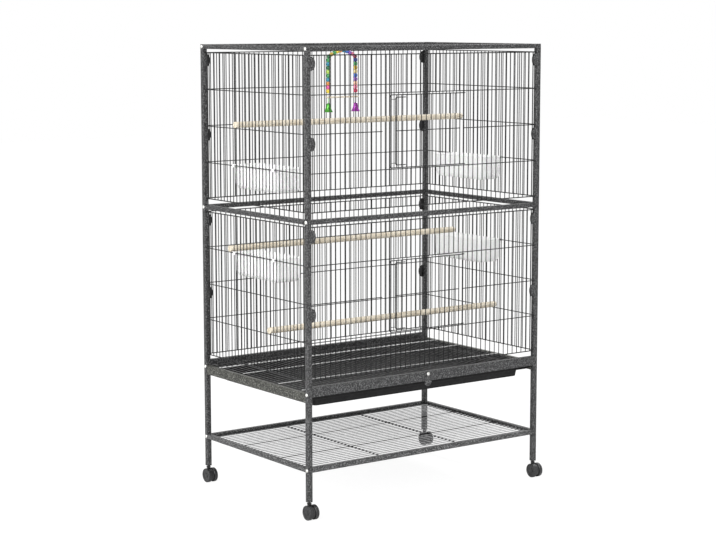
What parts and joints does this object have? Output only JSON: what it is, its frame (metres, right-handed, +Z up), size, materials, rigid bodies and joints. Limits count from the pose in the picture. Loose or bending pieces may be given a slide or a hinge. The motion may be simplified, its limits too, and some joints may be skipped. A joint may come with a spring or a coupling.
{
  "type": "bird cage",
  "caption": "Tall dark grey wire bird cage on casters, with doors, cups, wooden perches, a bead swing, a pull-out tray and a bottom shelf.",
  "frame": {"origin": "on the floor, at the centre of the four casters' footprint", "axes": "+Z up, the front with its doors faces -Y, +X along the width"},
  "size_m": [0.815, 0.5468, 1.244],
  "materials": {
    "frame_paint": "hammertone powder coat",
    "wire_paint": "powder coat",
    "tray_plastic": "moulded",
    "zinc_plate": "zinc plated",
    "cup_plastic": "translucent moulded",
    "pine": "turned",
    "bead_plastic": "mixed bright beads",
    "bell_green": "gloss enamel",
    "bell_purple": "gloss enamel",
    "caster_plastic": "moulded"
  },
  "bodies": {
    "cage": {"base_apron_back": "frame_paint", "base_apron_front": "frame_paint", "base_apron_left": "frame_paint", "base_apron_right": "frame_paint", "floor_grille": "wire_paint", "middle_rail_back": "frame_paint", "middle_rail_front": "frame_paint", "middle_rail_left": "frame_paint", "middle_rail_right": "frame_paint", "panel_back_lower": "wire_paint", "panel_back_upper": "wire_paint", "panel_front_lower": "wire_paint", "panel_front_upper": "wire_paint", "panel_left_lower": "wire_paint", "panel_left_upper": "wire_paint", "panel_right_lower": "wire_paint", "panel_right_upper": "wire_paint", "perch_high": "pine", "perch_low": "pine", "perch_middle": "pine", "post_back_left": "frame_paint", "post_back_right": "frame_paint", "post_front_left": "frame_paint", "post_front_right": "frame_paint", "roof_panel": "wire_paint", "shelf_mat": "wire_paint", "shelf_rail_back": "frame_paint", "shelf_rail_front": "frame_paint", "shelf_rail_left": "frame_paint", "shelf_rail_right": "frame_paint", "top_rail_back": "frame_paint", "top_rail_front": "frame_paint", "top_rail_left": "frame_paint", "top_rail_right": "frame_paint", "tray_guide_left": "tray_plastic", "tray_guide_right": "tray_plastic", "tray_latch_screw": "zinc_plate"},
    "door_upper": {"door_upper": "wire_paint"},
    "door_lower": {"door_lower": "wire_paint"},
    "door_latch_upper": {"door_latch_upper": "wire_paint"},
    "door_latch_lower": {"door_latch_lower": "wire_paint"},
    "tray": {"tray": "tray_plastic"},
    "tray_latch": {"tray_latch": "frame_paint"},
    "swing": {"swing_beads": "bead_plastic", "swing_bar": "pine", "swing_bell_left": "bell_green", "swing_bell_right": "bell_purple"},
    "feeder_cup_left_upper": {"feeder_cup_left_upper": "cup_plastic"},
    "feeder_cup_left_lower": {"feeder_cup_left_lower": "cup_plastic"},
    "feeder_cup_right_upper": {"feeder_cup_right_upper": "cup_plastic"},
    "feeder_cup_right_lower": {"feeder_cup_right_lower": "cup_plastic"},
    "caster_fork_front_left": {"caster_fork_front_left": "caster_plastic"},
    "caster_wheels_front_left": {"caster_wheels_front_left": "caster_plastic"},
    "caster_fork_front_right": {"caster_fork_front_right": "caster_plastic"},
    "caster_wheels_front_right": {"caster_wheels_front_right": "caster_plastic"},
    "caster_fork_back_left": {"caster_fork_back_left": "caster_plastic"},
    "caster_wheels_back_left": {"caster_wheels_back_left": "caster_plastic"},
    "caster_fork_back_right": {"caster_fork_back_right": "caster_plastic"},
    "caster_wheels_back_right": {"caster_wheels_back_right": "caster_plastic"}
  },
  "joints": [
    {"name": "door_upper_hinge", "type": "hinge", "parent": "cage", "child": "door_upper", "pos_m": [0.1248, -0.24795, 1.0177], "axis": [0, 0, 1], "range_deg": [0, 140]},
    {"name": "door_upper_latch_slide", "type": "slide", "parent": "door_upper", "child": "door_latch_upper", "axis": [1, 0, 0], "range_m": [-0.004, 0.012]},
    {"name": "door_lower_hinge", "type": "hinge", "parent": "cage", "child": "door_lower", "pos_m": [0.1248, -0.24795, 0.5737], "axis": [0, 0, 1], "range_deg": [0, 140]},
    {"name": "door_lower_latch_slide", "type": "slide", "parent": "door_lower", "child": "door_latch_lower", "axis": [1, 0, 0], "range_m": [-0.004, 0.012]},
    {"name": "tray_slide", "type": "slide", "parent": "cage", "child": "tray", "axis": [0, -1, 0], "range_m": [0, 0.42]},
    {"name": "tray_latch_turn", "type": "hinge", "parent": "cage", "child": "tray_latch", "pos_m": [0, -0.2517, 0.3478], "axis": [0, 1, 0], "range_deg": [-100, 100]},
    {"name": "swing_sway", "type": "hinge", "parent": "cage", "child": "swing", "pos_m": [-0.09984, 0.008, 1.23525], "axis": [1, 0, 0], "range_deg": [-30, 30]},
    {"name": "feeder_cup_left_upper_lift", "type": "slide", "parent": "cage", "child": "feeder_cup_left_upper", "axis": [0, 0, 1], "range_m": [0, 0.03]},
    {"name": "feeder_cup_left_lower_lift", "type": "slide", "parent": "cage", "child": "feeder_cup_left_lower", "axis": [0, 0, 1], "range_m": [0, 0.03]},
    {"name": "feeder_cup_right_upper_lift", "type": "slide", "parent": "cage", "child": "feeder_cup_right_upper", "axis": [0, 0, 1], "range_m": [0, 0.03]},
    {"name": "feeder_cup_right_lower_lift", "type": "slide", "parent": "cage", "child": "feeder_cup_right_lower", "axis": [0, 0, 1], "range_m": [0, 0.03]},
    {"name": "caster_front_left_swivel", "type": "hinge", "parent": "cage", "child": "caster_fork_front_left", "pos_m": [-0.393, -0.24535, 0.03], "axis": [0, 0, 1], "continuous": true},
    {"name": "caster_front_left_roll", "type": "hinge", "parent": "caster_fork_front_left", "child": "caster_wheels_front_left", "pos_m": [-0.393, -0.25335, 0.02], "axis": [1, 0, 0], "continuous": true},
    {"name": "caster_front_right_swivel", "type": "hinge", "parent": "cage", "child": "caster_fork_front_right", "pos_m": [0.393, -0.24535, 0.03], "axis": [0, 0, 1], "continuous": true},
    {"name": "caster_front_right_roll", "type": "hinge", "parent": "caster_fork_front_right", "child": "caster_wheels_front_right", "pos_m": [0.393, -0.25335, 0.02], "axis": [1, 0, 0], "continuous": true},
    {"name": "caster_back_left_swivel", "type": "hinge", "parent": "cage", "child": "caster_fork_back_left", "pos_m": [-0.393, 0.26135, 0.03], "axis": [0, 0, 1], "continuous": true},
    {"name": "caster_back_left_roll", "type": "hinge", "parent": "caster_fork_back_left", "child": "caster_wheels_back_left", "pos_m": [-0.393, 0.25335, 0.02], "axis": [1, 0, 0], "continuous": true},
    {"name": "caster_back_right_swivel", "type": "hinge", "parent": "cage", "child": "caster_fork_back_right", "pos_m": [0.393, 0.26135, 0.03], "axis": [0, 0, 1], "continuous": true},
    {"name": "caster_back_right_roll", "type": "hinge", "parent": "caster_fork_back_right", "child": "caster_wheels_back_right", "pos_m": [0.393, 0.25335, 0.02], "axis": [1, 0, 0], "continuous": true}
  ]
}
